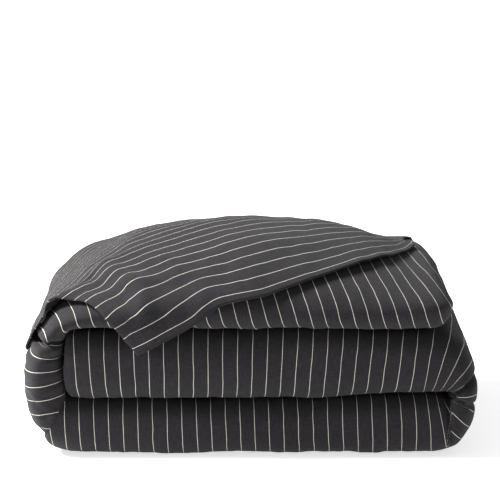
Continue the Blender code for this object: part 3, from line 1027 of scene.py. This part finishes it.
def thread():
    """Twisted charcoal sewing thread."""
    made, tree, shader = nodes_of("sewing thread")
    twist = tree.nodes.new("ShaderNodeTexWave")
    twist.bands_direction = "DIAGONAL"
    twist.inputs["Scale"].default_value = 900
    twist.inputs["Distortion"].default_value = 2
    place = tree.nodes.new("ShaderNodeTexCoord").outputs["Object"]
    tree.links.new(place, twist.inputs["Vector"])
    plies = twist.outputs["Fac"]
    colour = mix_colours(tree, plies, shade(sizes().cloth, 0.8), shade(sizes().cloth, 3.0))
    tree.links.new(colour, shader.inputs["Base Color"])
    set_relief(tree, shader, plies, 0.6, 0.0002)
    shader.inputs["Roughness"].default_value = 0.85
    return made


# ---- Operators ---------------------------------------------------------------------------------


class DUVET_OT_lower(Operator):
    """Makes the bottom third, right fold and middle third"""

    bl_idname = "duvet.lower"
    bl_label = "Bottom and Middle Thirds"

    def execute(self, context):
        piece = build_lower()
        piece.data.materials.append(linen("charcoal linen"))
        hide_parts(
            "cover_bottom_third",
            "insert_bottom_third",
            "cover_right_fold",
            "insert_right_fold",
            "cover_middle_third",
            "insert_middle_third",
        )
        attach(piece, "base")
        return {"FINISHED"}


class DUVET_OT_upper(Operator):
    """Makes the left fold and the top third"""

    bl_idname = "duvet.upper"
    bl_label = "Left Fold and Top Third"

    def execute(self, context):
        piece = build_upper()
        piece.data.materials.append(bpy.data.materials["charcoal linen"])
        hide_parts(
            "cover_left_fold",
            "insert_left_fold",
            "cover_top_third",
            "insert_top_third",
            "flap_root",
        )
        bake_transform(piece)
        return {"FINISHED"}


class DUVET_OT_buttons(Operator):
    """Sews the four horn buttons under the end hem"""

    bl_idname = "duvet.buttons"
    bl_label = "Buttons"

    def execute(self, context):
        look = horn()
        for number in range(BUTTON_COUNT):
            button = build_button(number)
            button.data.materials.append(look)
            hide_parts(f"button_{number + 1}")
            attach(button, "flap")
        threads = build_threads()
        threads.data.materials.append(thread())
        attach(threads, "flap")
        return {"FINISHED"}


class DUVET_OT_flap(Operator):
    """Lays the turned-back end of the cover over the top"""

    bl_idname = "duvet.flap"
    bl_label = "Turned-Back End"

    def execute(self, context):
        piece, area, extent = build_flap()
        piece.data.materials.append(linen("hemmed charcoal linen", hemmed=True))
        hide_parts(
            "flap_face_panel",
            "flap_back_panel",
            "flap_side_seam",
            "flap_end_hem",
            "flap_corner_tie",
        )
        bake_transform(piece)
        return {"FINISHED"}


class DUVET_OT_stage(Operator):
    """Sets the pale floor, the soft lights and the camera"""

    bl_idname = "duvet.stage"
    bl_label = "Studio"

    def execute(self, context):
        bpy.ops.mesh.primitive_plane_add(size=14, location=(0, 2, 0))
        floor = context.active_object
        floor.name = "studio_floor"
        made, _, shader = nodes_of("pale floor")
        shader.inputs["Base Color"].default_value = (0.86, 0.86, 0.86, 1)
        shader.inputs["Emission Color"].default_value = (1, 1, 1, 1)
        shader.inputs["Emission Strength"].default_value = 0.66
        shader.inputs["Roughness"].default_value = 0.9
        shader.inputs["Specular IOR Level"].default_value = 0.1
        floor.data.materials.append(made)
        set_lights(context)
        set_camera(context)
        return {"FINISHED"}


def add_light(name, place, target, width, energy):
    data = bpy.data.lights.new(name, "AREA")
    data.shape = "DISK"
    data.size = width
    data.energy = energy
    lamp = bpy.data.objects.new(name, data)
    lamp.location = place
    look = Vector(target) - Vector(place)
    lamp.rotation_euler = look.to_track_quat("-Z", "Y").to_euler()
    bpy.context.scene.collection.objects.link(lamp)


AMBIENT = 0.42  # light from the room, which is itself seen as plain white


def set_lights(context):
    add_light("overhead", (-2.4, -0.05, 2.3), (0, 0, 0.2), 1.3, 330)
    world = bpy.data.worlds.new("studio air")
    context.scene.world = world
    world.use_nodes = True
    air = world.node_tree.nodes["Background"]
    air.inputs["Color"].default_value = (1, 1, 1, 1)
    tree = world.node_tree
    seen = tree.nodes.new("ShaderNodeLightPath").outputs["Is Camera Ray"]
    strength = math_node(tree, "ADD", math_node(tree, "MULTIPLY", seen, 1 - AMBIENT), AMBIENT)
    tree.links.new(strength, air.inputs["Strength"])
    context.scene.view_settings.view_transform = "Standard"


def set_camera(context):
    elevation, reach = math.radians(13), 4.0
    aim = Vector((0.0, 0.0, 0.17))
    data = bpy.data.cameras.new("camera")
    data.lens = 162
    data.shift_y = 0.148
    camera = bpy.data.objects.new("camera", data)
    offset = Vector((0, -math.cos(elevation), math.sin(elevation))) * reach
    camera.location = aim + offset
    camera.rotation_euler = (-offset).to_track_quat("-Z", "Y").to_euler()
    context.scene.collection.objects.link(camera)
    context.scene.camera = camera


class DUVET_PT_panel(Panel):
    bl_label = "Folded Duvet"
    bl_idname = "DUVET_PT_panel"
    bl_space_type = "VIEW_3D"
    bl_region_type = "UI"
    bl_category = "Duvet"

    def draw(self, context):
        for name in DuvetSizes.__annotations__:
            self.layout.prop(context.scene.duvet_sizes, name)
        for operator in OPERATORS:
            self.layout.operator(operator.bl_idname)


OPERATORS = (
    DUVET_OT_lower,
    DUVET_OT_upper,
    DUVET_OT_buttons,
    DUVET_OT_flap,
    DUVET_OT_stage,
)
CLASSES = (DuvetSizes, *OPERATORS, DUVET_PT_panel)


def register():
    for item in CLASSES:
        bpy.utils.register_class(item)
    bpy.types.Scene.duvet_sizes = PointerProperty(type=DuvetSizes)


def unregister():
    del bpy.types.Scene.duvet_sizes
    for item in reversed(CLASSES):
        bpy.utils.unregister_class(item)


def main():
    register()
    bpy.ops.duvet.lower()
    bpy.ops.duvet.upper()
    bpy.ops.duvet.buttons()
    bpy.ops.duvet.flap()
    bpy.ops.duvet.stage()


if __name__ == "__main__":
    main()
